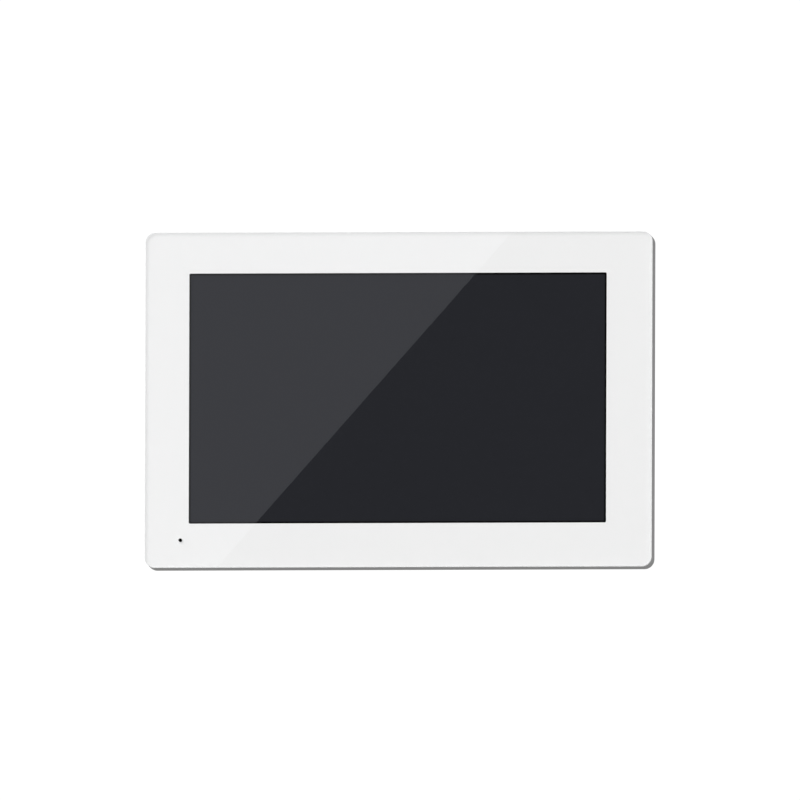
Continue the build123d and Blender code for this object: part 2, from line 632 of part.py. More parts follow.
def speaker_frame():
    """Moulded basket with two screw ears and a seat for the magnet."""
    y_rim = Y_SPEAKER_FRONT - 2.4
    frame = racetrack(SPEAKER_W, SPEAKER_L, y_rim, Y_SPEAKER_FRONT)
    for side in (-1, 1):
        frame += slab(6.0, 8.0, y_rim, y_rim + 1.0, 2.9, (SPEAKER_X, side * (SPEAKER_EAR_Z - 0.8)))
        frame -= rod(1.15, y_rim - 1, y_rim + 2, (SPEAKER_X, side * SPEAKER_EAR_Z))
    frame -= racetrack(SPEAKER_W - 2.4, SPEAKER_L - 2.4, y_rim - 1, Y_SPEAKER_FRONT + 1)
    floor = racetrack(SPEAKER_W - 1.2, SPEAKER_L - 1.2, y_rim - 0.8, y_rim)
    for z in (-14.2, 14.2):
        floor -= slab(9.0, 5.0, y_rim - 2, y_rim + 1, 1.5, (SPEAKER_X, z))
    floor -= slab(12.0, 20.0, y_rim - 2, y_rim + 1, 1.0, (SPEAKER_X, 0.0))
    tab = block((SPEAKER_X - 12.0, SPEAKER_X - 9.0), Y_SPEAKER_TAB, about(SPEAKER_TAB_Z, 6.0))
    return frame + floor + tab


def speaker_magnet():
    y1 = Y_SPEAKER_FRONT - 2.4
    yoke = slab(12.0, 20.0, y1 - 2.4, y1, 1.0, (SPEAKER_X, 0.0))
    gap = frame_slab((8.4, 16.4), (5.6, 13.6), y1 - 1.5, y1 + 1, 1.0, 0.8, at=(SPEAKER_X, 0.0))
    return yoke - (gap & slab(12.0, 20.0, y1 - 1.5, y1, 0.5, (SPEAKER_X, 0.0)))


def speaker_cone():
    """Diaphragm: half-roll surround, sloping cone, dust cap and the voice coil behind it."""
    y = Y_SPEAKER_FRONT - 0.9
    rim = racetrack(17.2, 37.2, y - 0.3, y) - racetrack(13.6, 33.6, y - 1, y + 1)
    cone = loft([racetrack_face(14.0, 34.0, y), racetrack_face(8.2, 17.0, y - 0.9)])
    cone -= loft([racetrack_face(13.4, 33.4, y + 0.01), racetrack_face(7.6, 16.4, y - 0.62)])
    coil = frame_slab((7.9, 15.9), (6.1, 14.1), y - 2.4, y - 0.85, 0.9, 0.7, at=(SPEAKER_X, 0.0))
    return rim + cone + coil


def speaker_gasket():
    return (racetrack(SPEAKER_W, SPEAKER_L, Y_SPEAKER_FRONT, Y_COVER_INNER)
            - racetrack(SPEAKER_W - 2.4, SPEAKER_L - 2.4, Y_SPEAKER_FRONT - 1, Y_COVER_INNER + 1))


def speaker_leads():
    """Two leads from the board header to the speaker's solder tab."""
    y = Y_SPEAKER_TAB[0] - 0.4
    x0, x1 = SPEAKER_HEADER_AT[0] + 2.2, SPEAKER_X - 10.6
    leads = []
    for side in (-1.0, 1.0):
        z0, z1 = SPEAKER_HEADER_AT[1] + side, SPEAKER_TAB_Z + 1.2 * side
        points = [(x0, y, z0), (x0 + 5.0, y, z0), (x1 - 6.0, y, z1), (x1, y, z1)]
        leads.append(wire(points, 0.38))
    return leads


def speaker_screws():
    y_seat = Y_SPEAKER_FRONT - 2.4
    found = []
    for side in (-1, 1):
        at = (SPEAKER_X, side * SPEAKER_EAR_Z)
        shank = rod(1.0, y_seat, y_seat + 3.6, at)
        head = rod(1.9, y_seat - 1.2, y_seat, at)
        head -= slab(2.2, 0.4, y_seat - 2, y_seat - 0.6, at=at)
        head -= slab(0.4, 2.2, y_seat - 2, y_seat - 0.6, at=at)
        found.append(shank + head)
    return found


# ---------------------------------------------------------------- rear cover
PADS_AT = [(x, z) for x in (-76.0, 76.0) for z in (-44.5, 44.5)]
PAD_R = 4.5
LABEL_AT, LABEL_SIZE = (-70.5, -4.0), (19.0, 50.0)
CABLE_CUT_X, CABLE_CUT_Z = 34.0, (-24.6, -15.4)


def drafted_box(w, h, y0, y1, r):
    """Box that narrows towards the wall by the moulding draft."""
    plane = Plane(origin=(0, y0, 0), x_dir=(1, 0, 0), z_dir=(0, 1, 0))
    return extrude(plane * RectangleRounded(w, h, r), y1 - y0, taper=BOX_DRAFT)


def cover_shell():
    """Skirt that carries the front case's sides on, and the drafted box behind it, hollowed out."""
    skirt = slab(WIDTH, HEIGHT, Y_SEAM, Y_SKIRT_BACK, CORNER_R)
    skirt = fillet(edges_at(skirt, Y_SKIRT_BACK), 1.2)
    skirt = chamfer(edges_at(skirt, Y_SEAM), 0.25)
    box = drafted_box(BOX_W, BOX_H, Y_BOX_FOOT, Y_COVER_BACK, BOX_R)
    box = fillet(edges_at(box, Y_COVER_BACK), 1.5)
    tongue = frame_slab((WIDTH - 2 * WALL - 0.3, HEIGHT - 2 * WALL - 0.3), SKIRT_INNER,
                        Y_SEAM - 0.9, Y_SEAM, 1.5, 0.9)
    shell = skirt + box + tongue
    shell -= slab(*SKIRT_INNER, Y_SEAM - 2, Y_SKIRT_BACK - WALL, 0.9)
    inner = (BOX_W - 2 * WALL, BOX_H - 2 * WALL)
    shell -= slab(*inner, Y_SEAM - 2, Y_BOX_FOOT, BOX_R - WALL)
    return side_notch(shell - drafted_box(*inner, Y_BOX_FOOT, Y_COVER_INNER, BOX_R - WALL))


def side_notch(shell):
    """Walled recess in the left side, where the card slot and controls are reached."""
    z0, z1 = NOTCH_Z
    shell += block((-WIDTH / 2 + WALL, NOTCH_X + WALL), (Y_SEAM, Y_SKIRT_BACK - 0.1), (z0 - WALL, z1 + WALL))
    return shell - block((-WIDTH / 2 - 1, NOTCH_X), (Y_NOTCH, Y_COVER_BACK + 1), NOTCH_Z)


def pocket_blocks():
    """(block to add inside, recess to cut) for the bracket pocket."""
    z_mid, h = sum(POCKET_Z) / 2, POCKET_Z[1] - POCKET_Z[0]
    added = slab(POCKET_W + 2 * WALL, h + 2 * WALL, Y_POCKET_INNER, Y_COVER_INNER + 0.5, 4.0, (0, z_mid))
    return added, slab(POCKET_W, h, Y_POCKET, Y_COVER_BACK + 1, 2.5, (0, z_mid))


def hook_slots():
    slots = []
    for top in HOOK_TOPS:
        z = (top - BRACKET_T - LIFT - 0.7, top + 0.15)
        for side in (-1, 1):
            slots.append(block(about(side * HOOK_X, HOOK_W + 1.0), (Y_POCKET_INNER - 1, Y_POCKET + 1), z))
    return slots


def grille_holes():
    """Staggered round holes within the speaker's racetrack."""
    holes = []
    half_w, half_l, pitch = SPEAKER_W / 2 - 2.6, SPEAKER_L / 2 - 2.6, 2.8
    for i in range(-7, 8):
        z = i * pitch * 0.866
        for x in row(5 if i % 2 else 6, pitch):
            past_end = max(abs(z) - (half_l - half_w), 0.0)
            if math.hypot(x, past_end) <= half_w:
                holes.append(rod(0.8, Y_COVER_INNER - 1, Y_COVER_BACK + 1, (SPEAKER_X + x, z)))
    return holes


def vent_slots():
    """Rows of upright slots through the back, above and below the bracket pocket."""
    return [block(about(x, 1.8), (Y_COVER_INNER - 1, Y_COVER_BACK + 1), z)
            for x in row(25, 4.4) for z in ((44.6, 51.4), (-52.2, -47.4))]


def side_openings():
    """Card slot with its finger scoop, reset hole and power-switch slot, in the left wall."""
    cuts = [block((-90.0, -83.0), (CARD_Y[0] - 0.3, CARD_Y[1] + 0.6), about(CARD_Z, CARD_W + 0.8))]
    cuts.append(Pos(-91.5, -8.9, CARD_Z) * Cylinder(6.4, 3.0, rotation=(90, 0, 0)))
    cuts.append(rod_x(RESET_R + 0.12, -90.0, -83.0, RESET_Y, RESET_Z))
    cuts.append(block((-90.0, -83.0), (KNOB_Y[0] - 0.15, KNOB_Y[1] + 0.15),
                      about(POWER_Z, KNOB_W + POWER_TRAVEL + 0.6)))
    return cuts


def screw_bosses(shell):
    """Bosses and counterbores for the case screws, and reliefs over the chassis screws' heads."""
    limit = slab(WIDTH - 2 * WALL - 0.3, HEIGHT - 2 * WALL - 0.3, Y_BOSS_END, Y_SEAM, 1.5)
    for at in CASE_SCREWS_AT:
        shell += rod(3.0, Y_BOSS_END, Y_SEAM, at) & limit
        shell += rod(3.0, Y_SEAM, Y_SKIRT_BACK - 0.5, at)
        shell -= rod(CASE_SCREW_R + 0.2, Y_BOSS_END - 1, Y_SKIRT_BACK + 1, at)
        shell -= rod(CASE_HEAD_R + 0.25, Y_CASE_SCREW_SEAT, Y_SKIRT_BACK + 1, at)
    for at in CHASSIS_SCREWS_AT:
        shell -= rod(CHASSIS_HEAD_R + 0.7, Y_SEAM - 1, Y_CHASSIS_BACK + 0.9, at)
    return shell


def speaker_mounts(shell):
    """Rib round the speaker and two screw bosses."""
    y_rib = Y_COVER_INNER - 1.4
    shell += racetrack(SPEAKER_W + 2.8, SPEAKER_L + 2.8, y_rib, Y_COVER_INNER)
    for side in (-1, 1):
        at = (SPEAKER_X, side * SPEAKER_EAR_Z)
        shell += rod(2.4, Y_SPEAKER_FRONT - 1.4, Y_COVER_INNER, at)
    shell -= racetrack(SPEAKER_W + 0.4, SPEAKER_L + 0.4, y_rib - 1, Y_COVER_INNER)
    for side in (-1, 1):
        at = (SPEAKER_X, side * SPEAKER_EAR_Z)
        shell -= rod(1.01, Y_SPEAKER_FRONT - 2, Y_COVER_BACK - 0.8, at)
    return shell


def rear_cover():
    shell = cover_shell()
    added, recess = pocket_blocks()
    shell = screw_bosses(speaker_mounts(shell + added - recess))
    shell -= block(about(0, 2 * CABLE_CUT_X), (Y_POCKET_INNER - 1, Y_POCKET + 1), CABLE_CUT_Z)
    shell -= hook_slots() + grille_holes() + vent_slots() + side_openings()
    for at in PADS_AT:
        shell -= rod(PAD_R + 0.1, Y_COVER_BACK - 0.5, Y_COVER_BACK + 1, at)
    return shell


def case_screws():
    return [screw(at, Y_CASE_SCREW_SEAT, CASE_SCREW_R, CASE_HEAD_R, 1.4, 7.9)
            for at in CASE_SCREWS_AT]


def wall_pads():
    """Rubber pads that keep the monitor off the wall."""
    pads = []
    for at in PADS_AT:
        pad = rod(PAD_R, Y_COVER_BACK - 0.5, -0.1, at)
        pads.append(fillet(edges_at(pad, -0.1), 0.5))
    return pads


def rating_label():
    return slab(*LABEL_SIZE, Y_COVER_BACK, Y_COVER_BACK + 0.12, 1.2, LABEL_AT)


# ---------------------------------------------------------------- wall bracket
def hook(side, top):
    """Tab bent forward out of the plate and then up, behind the rear cover's wall."""
    x = about(side * HOOK_X, HOOK_W)
    y_tip = Y_POCKET_INNER - 0.2 - BRACKET_T
    leg = block(x, (y_tip, -BRACKET_T / 2), (top - BRACKET_T, top))
    tip = block(x, (y_tip, y_tip + BRACKET_T), (top - BRACKET_T, top + HOOK_TIP))
    tip = chamfer(tip.edges().filter_by(Axis.Y).group_by(Axis.Z)[-1], 1.2)
    return leg + tip


def wall_bracket():
    """Stamped steel plate: hooks, cable window, wall-box slots and wall-plug holes."""
    z_mid, h = sum(BRACKET_Z) / 2, BRACKET_Z[1] - BRACKET_Z[0]
    plate = slab(BRACKET_W, h, -BRACKET_T, 0.0, 3.0, (0, z_mid))
    plate = fillet(edges_at(plate, -BRACKET_T), 0.3)
    window_mid, window_h = sum(CABLE_WINDOW_Z) / 2, CABLE_WINDOW_Z[1] - CABLE_WINDOW_Z[0]
    plate -= slab(CABLE_WINDOW_W, window_h, -5, 1, 2.0, (0, window_mid))
    for x in (-WALL_BOX_PITCH / 2, WALL_BOX_PITCH / 2):
        plate -= extrude(across(1) * Pos(x, 0) * SlotOverall(WALL_SLOT_L, WALL_SLOT_W), 5)
    for x in (-PLUG_PITCH_X / 2, PLUG_PITCH_X / 2):
        for z in (-PLUG_PITCH_Z / 2, PLUG_PITCH_Z / 2):
            plate -= rod(PLUG_HOLE_R, -5, 1, (x, z))
    for top in HOOK_TOPS:
        for side in (-1, 1):
            relief = (top - BRACKET_T - 9.0, top - BRACKET_T)
            plate -= block(about(side * HOOK_X, HOOK_W + 0.6), (-5, 1), relief)
            plate += hook(side, top)
    return plate


# ---------------------------------------------------------------- assembly and export
def joined(shapes):
    """One node from one shape or a list of separate solids."""
    if isinstance(shapes, (list, tuple)):
        return Compound(children=[s for shape in shapes for s in shape.solids()])
    return shapes


def build():
    pins = socket_pins()
    power, *lines = [socket_housing(x, n, pins) for x, n in socket_places()]
    return {
        "cover_glass": cover_glass(),
        "white_border_print": white_border_print(),
        "black_keyline_print": black_keyline_print(),
        "touch_sensor": touch_sensor(),
        "touch_flex": touch_flex(),
        "glass_tape": glass_tape(),
        "front_case": front_case(),
        "mic_boot": mic_boot(),
        "mic_capsule": mic_capsule(),
        "mic_leads": mic_leads(),
        "lcd_foam_gasket": lcd_foam_gasket(),
        "lcd_bezel": lcd_bezel(),
        "lcd_glass_cell": lcd_glass_cell(),
        "lcd_light_guide": lcd_light_guide(),
        "lcd_backlight_tray": lcd_backlight_tray(),
        "lcd_led_strip": lcd_led_strip(),
        "lcd_flex": lcd_flex(),
        "chassis_plate": chassis_plate(),
        "chassis_screws": chassis_screws(),
        "main_board": main_board(pins),
        "board_screws": board_screws(),
        "processor": processor(),
        "processor_heatsink": processor_heatsink(),
        "memory_chips": memory_chips(),
        "small_chips": small_chips(),
        "small_passives": small_passives(),
        "power_inductors": power_inductors(),
        "capacitors": capacitors(),
        "wifi_module": wifi_module(),
        "antenna_film": antenna_film(),
        "antenna_lead": antenna_lead(),
        "flex_connectors": flex_connectors(),
        "lead_headers": lead_headers(),
        "power_socket": power,
        "line_sockets": lines,
        "socket_pins": pins,
        "card_socket": card_socket(),
        "memory_card": memory_card(),
        "reset_switch": reset_switch(),
        "reset_button": reset_button(),
        "power_switch": power_switch(),
        "power_switch_knob": power_switch_knob(),
        "speaker_frame": speaker_frame(),
        "speaker_magnet": speaker_magnet(),
        "speaker_cone": speaker_cone(),
        "speaker_gasket": speaker_gasket(),
        "speaker_leads": speaker_leads(),
        "speaker_screws": speaker_screws(),
        "rear_cover": rear_cover(),
        "case_screws": case_screws(),
        "wall_pads": wall_pads(),
        "rating_label": rating_label(),
        "wall_bracket": wall_bracket(),
    }


os.makedirs("parts", exist_ok=True)
for node, shape in build().items():
    export_step(joined(shape), f"parts/{node}.step")
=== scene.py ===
"""Looks of the wall-mounted video intercom monitor.

Materials for the CAD nodes, small printed and soldered details, light and camera.
"""
import json
import math

import bmesh
import bpy
from mathutils import Matrix, Quaternion, Vector


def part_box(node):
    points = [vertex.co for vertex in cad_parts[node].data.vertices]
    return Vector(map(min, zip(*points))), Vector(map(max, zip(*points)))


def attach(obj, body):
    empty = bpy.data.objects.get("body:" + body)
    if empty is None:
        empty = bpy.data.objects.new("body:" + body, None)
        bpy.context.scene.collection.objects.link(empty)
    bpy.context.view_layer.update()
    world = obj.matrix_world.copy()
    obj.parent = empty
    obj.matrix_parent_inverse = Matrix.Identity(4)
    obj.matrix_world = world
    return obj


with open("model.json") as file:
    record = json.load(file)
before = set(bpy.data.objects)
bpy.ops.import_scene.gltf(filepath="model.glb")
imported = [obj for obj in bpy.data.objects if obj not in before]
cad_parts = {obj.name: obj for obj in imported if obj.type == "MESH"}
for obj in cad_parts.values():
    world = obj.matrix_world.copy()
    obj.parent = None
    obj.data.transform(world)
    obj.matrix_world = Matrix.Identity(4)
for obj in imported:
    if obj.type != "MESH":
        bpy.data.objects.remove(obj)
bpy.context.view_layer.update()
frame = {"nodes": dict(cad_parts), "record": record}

MM = 0.001
NODES = frame["nodes"]


# ---------------------------------------------------------------- node helpers
class Tree:
    """A material's node tree, with short calls for the nodes used here."""

    def __init__(self, name):
        self.material = bpy.data.materials.new(name)
        self.material.use_nodes = True
        self.nt = self.material.node_tree
        self.nt.nodes.clear()
        self.out = self.nt.nodes.new("ShaderNodeOutputMaterial")

    def node(self, kind, inputs=None, **settings):
        n = self.nt.nodes.new(kind)
        for key, value in settings.items():
            setattr(n, key, value)
        for key, value in (inputs or {}).items():
            self.put(n.inputs[key], value)
        return n

    def put(self, socket, value):
        if isinstance(value, bpy.types.NodeSocket):
            self.nt.links.new(value, socket)
        elif isinstance(value, (tuple, list)) and len(value) == 3 and socket.type == "RGBA":
            socket.default_value = (*value, 1.0)
        else:
            socket.default_value = value

    def place(self):
        """The piece's own coordinates, in metres."""
        return self.node("ShaderNodeTexCoord").outputs["Object"]

    def noise(self, size, detail=2.0, stretch=(1, 1, 1), rough=0.5):
        """Noise from 0 to 1 whose features are about size metres across."""
        at = self.node("ShaderNodeMapping", {"Vector": self.place(), "Scale": [s / size for s in stretch]})
        return self.node("ShaderNodeTexNoise",
                         {"Vector": at.outputs[0], "Scale": 1.0, "Detail": detail,
                          "Roughness": rough}).outputs[0]

    def cells(self, size, feature="F1", output="Distance"):
        """Voronoi cells about size metres across."""
        at = self.node("ShaderNodeMapping", {"Vector": self.place(), "Scale": [1 / size] * 3})
        n = self.node("ShaderNodeTexVoronoi", {"Vector": at.outputs[0], "Scale": 1.0}, feature=feature)
        return n.outputs[output]

    def ramp(self, value, low, high, to_low=0.0, to_high=1.0):
        """Value carried from low..high to to_low..to_high, and held at the ends."""
        return self.node("ShaderNodeMapRange",
                         {"Value": value, "From Min": low, "From Max": high,
                          "To Min": to_low, "To Max": to_high}, clamp=True).outputs[0]

    def math(self, op, a, b=0.0):
        n = self.node("ShaderNodeMath", operation=op)
        self.put(n.inputs[0], a)
        self.put(n.inputs[1], b)
        return n.outputs[0]

    def mix(self, factor, a, b):
        n = self.node("ShaderNodeMix", data_type="RGBA")
        self.put(n.inputs[0], factor)
        self.put(n.inputs[6], a)
        self.put(n.inputs[7], b)
        return n.outputs[2]

    def split(self, vector):
        return self.node("ShaderNodeSeparateXYZ", {"Vector": vector}).outputs

    def bump(self, height, depth, strength=1.0):
        settings = {"Height": height, "Distance": depth, "Strength": strength}
        return self.node("ShaderNodeBump", settings).outputs[0]

    def principled(self, **inputs):
        names = {"color": "Base Color", "rough": "Roughness", "metal": "Metallic", "normal": "Normal",
                 "shine": "Specular IOR Level", "sub": "Subsurface Weight", "sub_scale": "Subsurface Scale"}
        return self.node("ShaderNodeBsdfPrincipled", {names[k]: v for k, v in inputs.items()}).outputs[0]

    def done(self, shader):
        self.nt.links.new(shader, self.out.inputs["Surface"])
        return self.material


def shade(color, factor):
    return tuple(min(c * factor, 1.0) for c in color)


# ---------------------------------------------------------------- materials
GLASS_IOR = 1.85  # above plain glass's 1.5: a weaker light panel then gives the same sheen with less noise
GLASS_CLEAR = (0.995, 0.996, 0.996)
RIM_HAZE = 0.22  # share of the ground rim that looks cloudy
LATTICE_PITCH, LATTICE_GAP = 5.0 * MM, 0.012  # touch electrodes; the gap is a share of the pitch
FILM_DARK = (0.0185, 0.0194, 0.0238)
TRACK_PITCH, SECTIONS_PER_METRE = 1.1 * MM, 90.0  # how close and how long the board's tracks are
FLEX_PITCH = 0.5 * MM
LABEL_BORDER, LABEL_ROW = 1.3 * MM, 4.2 * MM


def moulded(name, color, rough=0.5, grain=0.35 * MM, depth=0.012 * MM, tone=0.02, shine=0.4, sub=0.0):
    """Moulded plastic with a fine spark-eroded grain and faint flow variation."""
    t = Tree(name)
    patches = t.noise(18 * MM, 3)
    fine = t.noise(grain, 3, rough=0.6)
    color_out = t.mix(t.math("ADD", t.math("MULTIPLY", patches, 0.7), t.math("MULTIPLY", fine, 0.3)),
                      shade(color, 1 - tone), shade(color, 1 + tone))
    roughness = t.ramp(t.noise(6 * MM, 4), 0.3, 0.7, rough - 0.05, rough + 0.05)
    pits = t.cells(grain * 1.6, "SMOOTH_F1")
    height = t.math("ADD", t.math("MULTIPLY", fine, 0.6), t.math("MULTIPLY", pits, 0.5))
    return t.done(t.principled(color=color_out, rough=roughness, shine=shine, sub=sub,
                               sub_scale=0.4 * MM, normal=t.bump(height, depth)))


def rolled_metal(name, color, rough=0.35, along=(1, 1, 14), depth=0.003 * MM, tone=0.08, spangle=0.0):
    """Sheet or turned metal: fine marks along one axis and, on zinc, pale crystal patches."""
    t = Tree(name)
    marks = t.noise(1.2 * MM, 4, stretch=along, rough=0.65)
    patches = t.noise(9 * MM, 2)
    blend = t.math("ADD", t.math("MULTIPLY", marks, 0.55), t.math("MULTIPLY", patches, 0.45))
    color_out = t.mix(blend, shade(color, 1 - tone), shade(color, 1 + tone))
    roughness = t.ramp(marks, 0.25, 0.75, rough - 0.07, rough + 0.09)
    if spangle:
        crystal = t.node("ShaderNodeSeparateColor", {"Color": t.cells(5.0 * MM, "F1", "Color")}).outputs[0]
        color_out = t.mix(t.math("MULTIPLY", crystal, spangle), color_out, shade(color, 1.25))
        roughness = t.math("ADD", roughness, t.math("MULTIPLY", crystal, 0.12))
    return t.done(t.principled(color=color_out, metal=1.0, rough=roughness, normal=t.bump(marks, depth)))


def rubbery(name, color, rough=0.75, grain=0.25 * MM, depth=0.02 * MM):
    """Matt rubber, foam or tape with a fine grain and some dust."""
    t = Tree(name)
    fine = t.noise(grain, 4, rough=0.7)
    dust = t.noise(3 * MM, 4)
    color_out = t.mix(t.ramp(dust, 0.45, 0.75), color, shade(color, 1.35))
    roughness = t.ramp(fine, 0.3, 0.7, rough - 0.08, min(rough + 0.12, 1.0))
    return t.done(t.principled(color=color_out, rough=roughness, shine=0.3, normal=t.bump(fine, depth)))


def clear_glass():
    """Polished cover glass that mirrors on its outer faces, with a fine-ground, faintly cloudy rim."""
    t = Tree("clear_glass")
    geometry = t.node("ShaderNodeNewGeometry")
    outside = t.math("SUBTRACT", 1.0, geometry.outputs["Backfacing"])
    mirrored = t.node("ShaderNodeFresnel", {"IOR": GLASS_IOR}).outputs[0]
    clear = t.node("ShaderNodeBsdfTransparent", {"Color": GLASS_CLEAR}).outputs[0]
    mirror = t.node("ShaderNodeBsdfAnisotropic", {"Color": (1, 1, 1), "Roughness": 0.0}).outputs[0]
    mirror_share = t.math("MULTIPLY", mirrored, outside)
    face = t.node("ShaderNodeMixShader", {0: mirror_share, 1: clear, 2: mirror}).outputs[0]
    turned = t.split(geometry.outputs["Normal"])[1]
    grind = t.noise(0.12 * MM, 3)
    cloud = t.principled(color=t.mix(grind, (0.78, 0.86, 0.84), (0.88, 0.92, 0.91)),
                         rough=t.ramp(grind, 0.3, 0.7, 0.25, 0.4), normal=t.bump(grind, 0.006 * MM))
    rim_share = t.ramp(t.math("ABSOLUTE", turned), 0.55, 0.9, RIM_HAZE, 0.0)
    return t.done(t.node("ShaderNodeMixShader", {0: rim_share, 1: face, 2: cloud}).outputs[0])


def screen_print(name, color, rough, tone):
    """Ink under the glass: nearly even, with the faint mottle of a screen mesh."""
    t = Tree(name)
    mesh = t.noise(0.25 * MM, 2)
    cloud = t.noise(30 * MM, 2)
    blend = t.math("ADD", t.math("MULTIPLY", mesh, 0.5), t.math("MULTIPLY", cloud, 0.5))
    color_out = t.mix(blend, shade(color, 1 - tone), shade(color, 1 + tone))
    return t.done(t.principled(color=color_out, rough=rough, shine=0.0,
                               normal=t.bump(mesh, 0.002 * MM)))


def touch_film():
    """Sensor film bonded over the switched-off display: blue-grey black, with the electrodes' lattice."""
    t = Tree("touch_film")
    x, _, z = t.split(t.place())
    diagonals = [t.math("PINGPONG", t.math("MULTIPLY", t.math(op, x, z), 1 / LATTICE_PITCH), 0.5)
                 for op in ("ADD", "SUBTRACT")]
    gap = t.math("MINIMUM", *[t.ramp(diagonal, 0.0, LATTICE_GAP) for diagonal in diagonals])
    cloud = t.noise(40 * MM, 2)
    film = t.mix(cloud, FILM_DARK, shade(FILM_DARK, 1.06))
    return t.done(t.principled(color=t.mix(gap, shade(FILM_DARK, 1.1), film),
                               rough=t.ramp(t.noise(0.1 * MM), 0.3, 0.7, 0.45, 0.52), shine=0.0))


def display_dark():
    """Switched-off display: a blue-grey black with a fine anti-glare grain."""
    t = Tree("display_dark")
    grain = t.noise(0.06 * MM, 2)
    cloud = t.noise(40 * MM, 2)
    blend = t.math("ADD", t.math("MULTIPLY", grain, 0.3), t.math("MULTIPLY", cloud, 0.7))
    color_out = t.mix(blend, (0.0205, 0.0215, 0.0262), (0.0225, 0.0235, 0.0285))
    return t.done(t.principled(color=color_out, rough=t.ramp(grain, 0.3, 0.7, 0.42, 0.5), shine=0.05,
                               normal=t.bump(grain, 0.001 * MM)))


def solder_mask():
    """Green board: paler tracks and pads under the mask, with a satin coat."""
    t = Tree("board_green")
    x, _, z = t.split(t.place())
    lanes = []
    for along, sideways in ((x, z), (z, x)):
        lane_number = t.math("MULTIPLY", sideways, 1 / TRACK_PITCH)
        lane = t.math("PINGPONG", lane_number, 0.5)
        stretch = t.node("ShaderNodeCombineXYZ", {"X": t.math("MULTIPLY", along, SECTIONS_PER_METRE),
                                                  "Y": t.math("FLOOR", lane_number)}).outputs[0]
        section = t.node("ShaderNodeTexNoise", {"Vector": stretch, "Scale": 1.0, "Detail": 1.0}).outputs[0]
        present = t.ramp(section, 0.52, 0.54)
        lanes.append(t.math("MULTIPLY", t.ramp(lane, 0.13, 0.17, 1.0, 0.0), present))
    tracks = t.math("MAXIMUM", *lanes)
    pour = t.ramp(t.noise(11 * MM, 1), 0.5, 0.51)
    base = t.mix(t.math("MULTIPLY", pour, 0.35), (0.012, 0.085, 0.036), (0.03, 0.17, 0.075))
    color_out = t.mix(tracks, base, (0.045, 0.25, 0.11))
    roughness = t.ramp(t.noise(2 * MM, 3), 0.3, 0.7, 0.28, 0.42)
    return t.done(t.principled(color=color_out, rough=roughness, shine=0.5,
                               normal=t.bump(tracks, 0.03 * MM, 0.7)))


def polyimide():
    """Amber film with copper lanes showing through."""
    t = Tree("flex_amber")
    x = t.split(t.place())[0]
    lane = t.math("PINGPONG", t.math("MULTIPLY", x, 1 / FLEX_PITCH), 0.5)
    copper = t.ramp(lane, 0.2, 0.28)
    color_out = t.mix(copper, (0.30, 0.12, 0.02), (0.62, 0.33, 0.10))
    return t.done(t.principled(color=color_out, rough=t.ramp(t.noise(2 * MM), 0.3, 0.7, 0.25, 0.4),
                               normal=t.bump(copper, 0.012 * MM)))


def paper_cone():
    """Speaker diaphragm: fibrous paper, with a smoother rolled rubber surround."""
    t = Tree("cone_black")
    low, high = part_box("speaker_cone")
    middle, half_w = (low + high) / 2, (high.x - low.x) / 2
    straight = (high.z - low.z) / 2 - half_w
    x, _, z = t.split(t.place())
    dx = t.math("SUBTRACT", x, middle.x)
    dz = t.math("MAXIMUM", t.math("SUBTRACT", t.math("ABSOLUTE", z), straight), 0.0)
    reach = t.math("SQRT", t.math("ADD", t.math("MULTIPLY", dx, dx), t.math("MULTIPLY", dz, dz)))
    roll = t.ramp(reach, half_w - 1.9 * MM, half_w - 1.7 * MM)
    fibre = t.noise(0.5 * MM, 5, stretch=(1, 1, 3), rough=0.7)
    paper = t.mix(fibre, (0.018, 0.018, 0.02), (0.06, 0.058, 0.055))
    height = t.math("MULTIPLY", fibre, t.math("SUBTRACT", 1.0, t.math("MULTIPLY", roll, 0.9)))
    return t.done(t.principled(color=t.mix(roll, paper, (0.014, 0.014, 0.015)),
                               rough=t.ramp(roll, 0.0, 1.0, 0.9, 0.45), normal=t.bump(height, 0.05 * MM)))


def blank_label():
    """Silver film label: a thin border and ruled, empty fields."""
    t = Tree("label_silver")
    low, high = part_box("rating_label")
    middle, half = (low + high) / 2, (high - low) / 2
    x, _, z = t.split(t.place())
    u = t.math("ABSOLUTE", t.math("SUBTRACT", x, middle.x))
    v = t.math("ABSOLUTE", t.math("SUBTRACT", z, middle.z))
    to_edge = t.math("MINIMUM", t.math("SUBTRACT", half.x, u), t.math("SUBTRACT", half.z, v))
    border = t.math("COMPARE", to_edge, LABEL_BORDER)
    border.node.inputs[2].default_value = 0.11 * MM
    rule = t.math("PINGPONG", t.math("ADD", z, 1.0), LABEL_ROW)
    line = t.math("MULTIPLY", t.math("LESS_THAN", rule, 0.07 * MM), t.math("GREATER_THAN", to_edge, 2.2 * MM))
    ink = t.math("MAXIMUM", border, line)
    film = t.mix(t.noise(2.5 * MM, 4, stretch=(12, 1, 1)), (0.62, 0.63, 0.64), (0.74, 0.75, 0.76))
    return t.done(t.principled(color=t.mix(ink, film, (0.12, 0.12, 0.125)), metal=0.35,
                               rough=t.ramp(t.noise(1 * MM, 3), 0.3, 0.7, 0.3, 0.42), shine=0.5))


def acrylic():
    """Light guide: clear acrylic whose printed dots show as a pale haze."""
    t = Tree("light_guide")
    dots = t.ramp(t.cells(0.9 * MM), 0.25, 0.32, 1.0, 0.0)
    return t.done(t.principled(color=t.mix(dots, (0.72, 0.77, 0.80), (0.9, 0.92, 0.94)), rough=0.12,
                               shine=0.5, normal=t.bump(dots, 0.01 * MM)))


